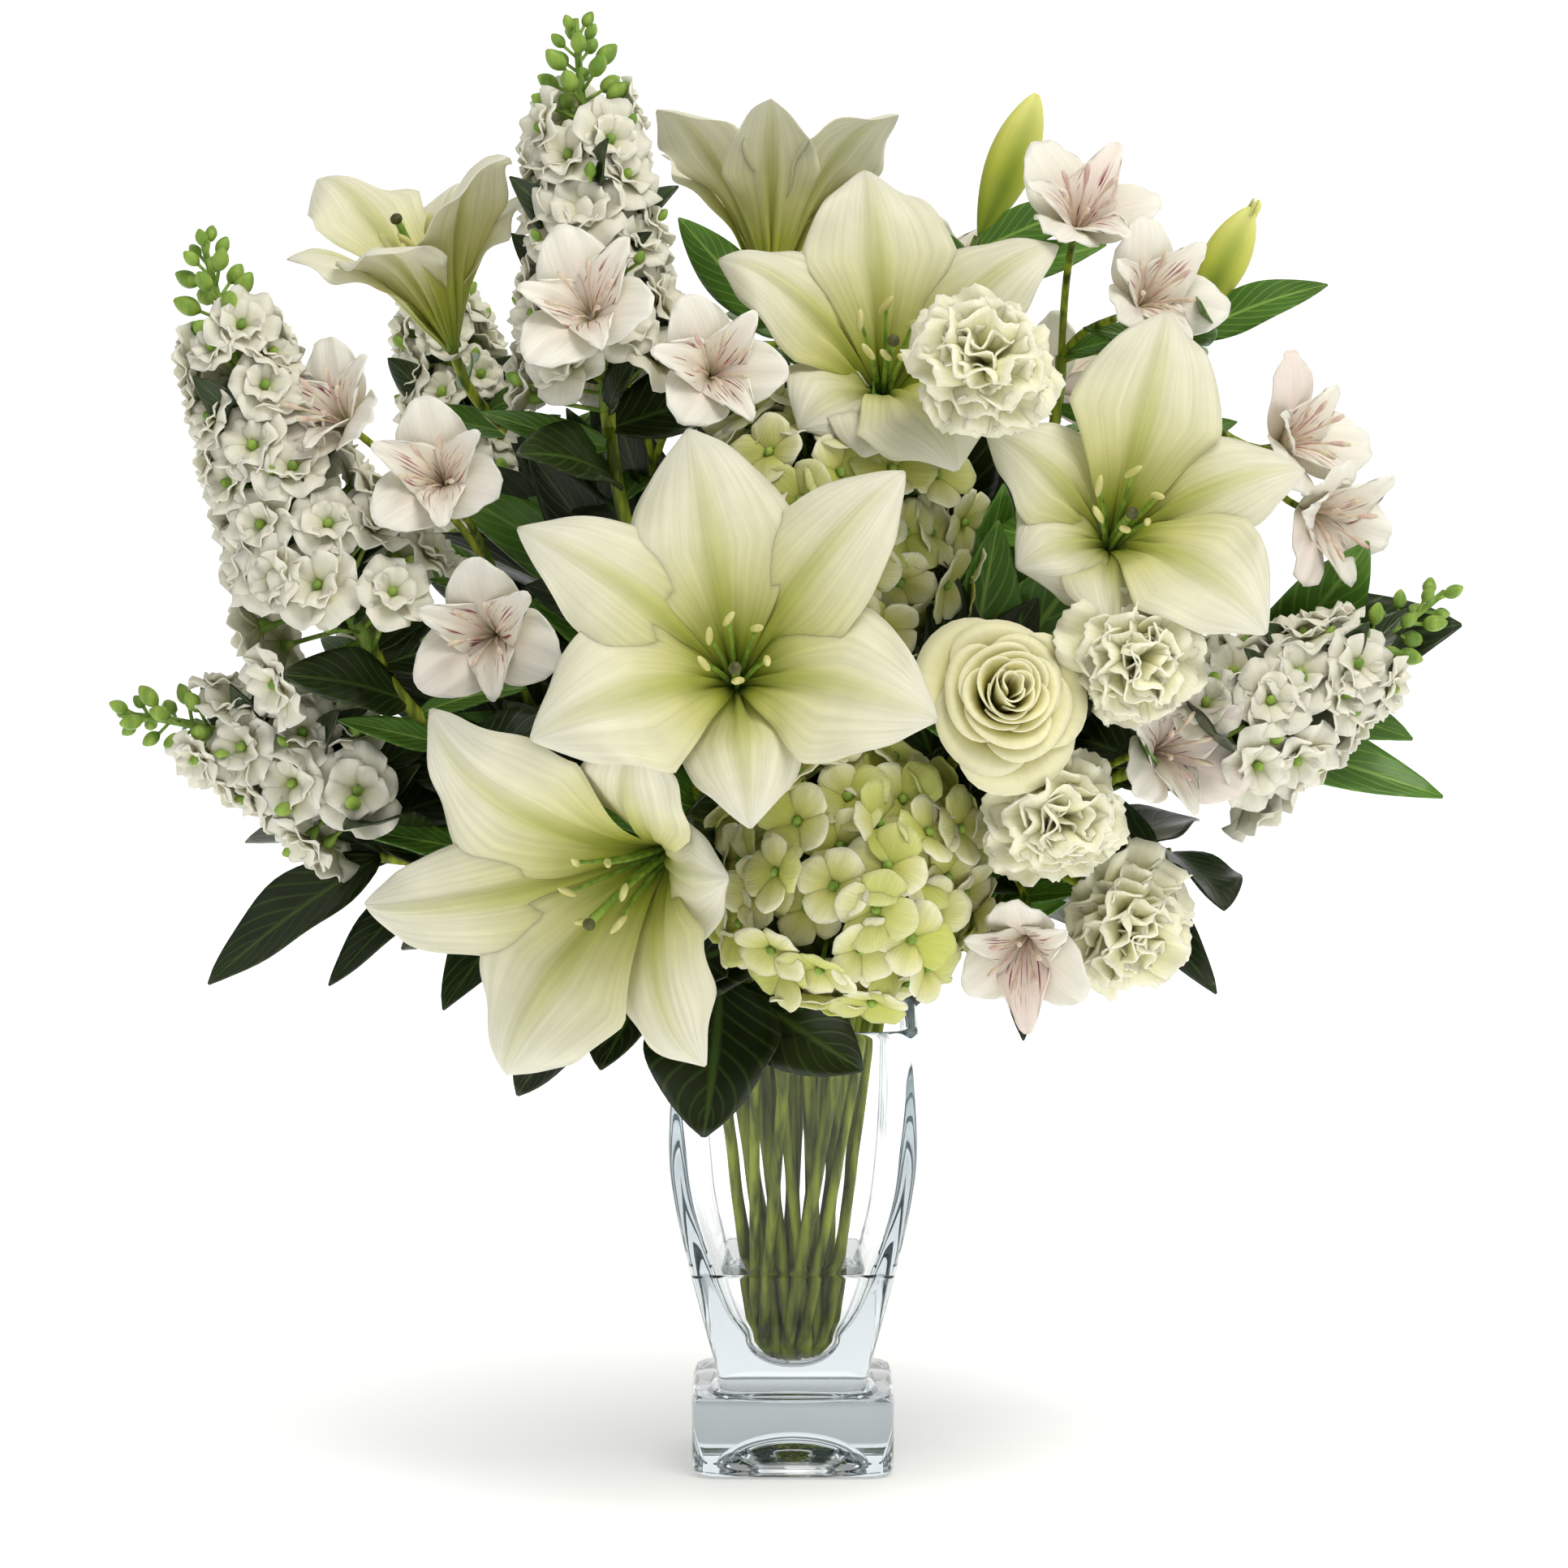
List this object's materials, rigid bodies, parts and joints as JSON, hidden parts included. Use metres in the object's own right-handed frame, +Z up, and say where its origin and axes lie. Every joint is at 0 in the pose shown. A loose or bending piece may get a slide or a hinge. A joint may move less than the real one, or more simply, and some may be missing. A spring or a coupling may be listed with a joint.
{
  "type": "lilies in a vase",
  "caption": "Cut white lilies with stock, alstroemeria, carnations, hydrangea, roses and dark leaves, standing in a clear square-footed glass vase of water.",
  "frame": {"origin": "middle of the underside of the vase's square foot", "axes": "+Z up, -Y towards the viewer of the picture, +X to the viewer's right; the foot's sides lie along X and Y"},
  "size_m": [0.4881, 0.3634, 0.5434],
  "materials": {
    "glass": "clear pressed glass, polished",
    "water": "clear water",
    "lily": "white petals with a yellow-green throat",
    "bud": "pale yellow-green closed petals",
    "stem": "fresh green stems",
    "stock": "ruffled white petals, green bud tips",
    "alstroemeria": "white petals flushed with pink",
    "carnation": "toothed cream petals",
    "hydrangea": "cream and yellow-green florets",
    "rose": "cream petals",
    "foliage": "glossy dark green leaves"
  },
  "bodies": {
    "root": {"alstroemeria_1": "alstroemeria", "alstroemeria_2": "alstroemeria", "alstroemeria_3": "alstroemeria", "alstroemeria_4": "alstroemeria", "alstroemeria_5": "alstroemeria", "carnation_1": "carnation", "carnation_1_stem": "stem", "carnation_2": "carnation", "carnation_2_stem": "stem", "carnation_3": "carnation", "carnation_3_stem": "stem", "carnation_4": "carnation", "carnation_4_stem": "stem", "carnation_5": "carnation", "carnation_5_stem": "stem", "foliage_1": "foliage", "foliage_2": "foliage", "foliage_3": "foliage", "foliage_4": "foliage", "foliage_5": "foliage", "foliage_6": "foliage", "hydrangea_1": "hydrangea", "hydrangea_1_stem": "stem", "hydrangea_2": "hydrangea", "hydrangea_2_stem": "stem", "hydrangea_3": "hydrangea", "hydrangea_3_stem": "stem", "lily_1": "lily", "lily_2": "lily", "lily_3": "lily", "lily_4": "lily", "lily_5": "lily", "lily_6": "lily", "lily_7": "lily", "lily_bud_1": "bud", "lily_bud_2": "bud", "lily_stem_1": "stem", "lily_stem_2": "stem", "lily_stem_3": "stem", "lily_stem_4": "stem", "rose_1": "rose", "rose_1_stem": "stem", "rose_2": "rose", "rose_2_stem": "stem", "stock_1": "stock", "stock_1_stem": "stem", "stock_2": "stock", "stock_2_stem": "stem", "stock_3": "stock", "stock_3_stem": "stem", "stock_4": "stock", "stock_4_stem": "stem", "stock_5": "stock", "stock_5_stem": "stem", "vase": "glass", "water": "water"}
  },
  "joints": []
}
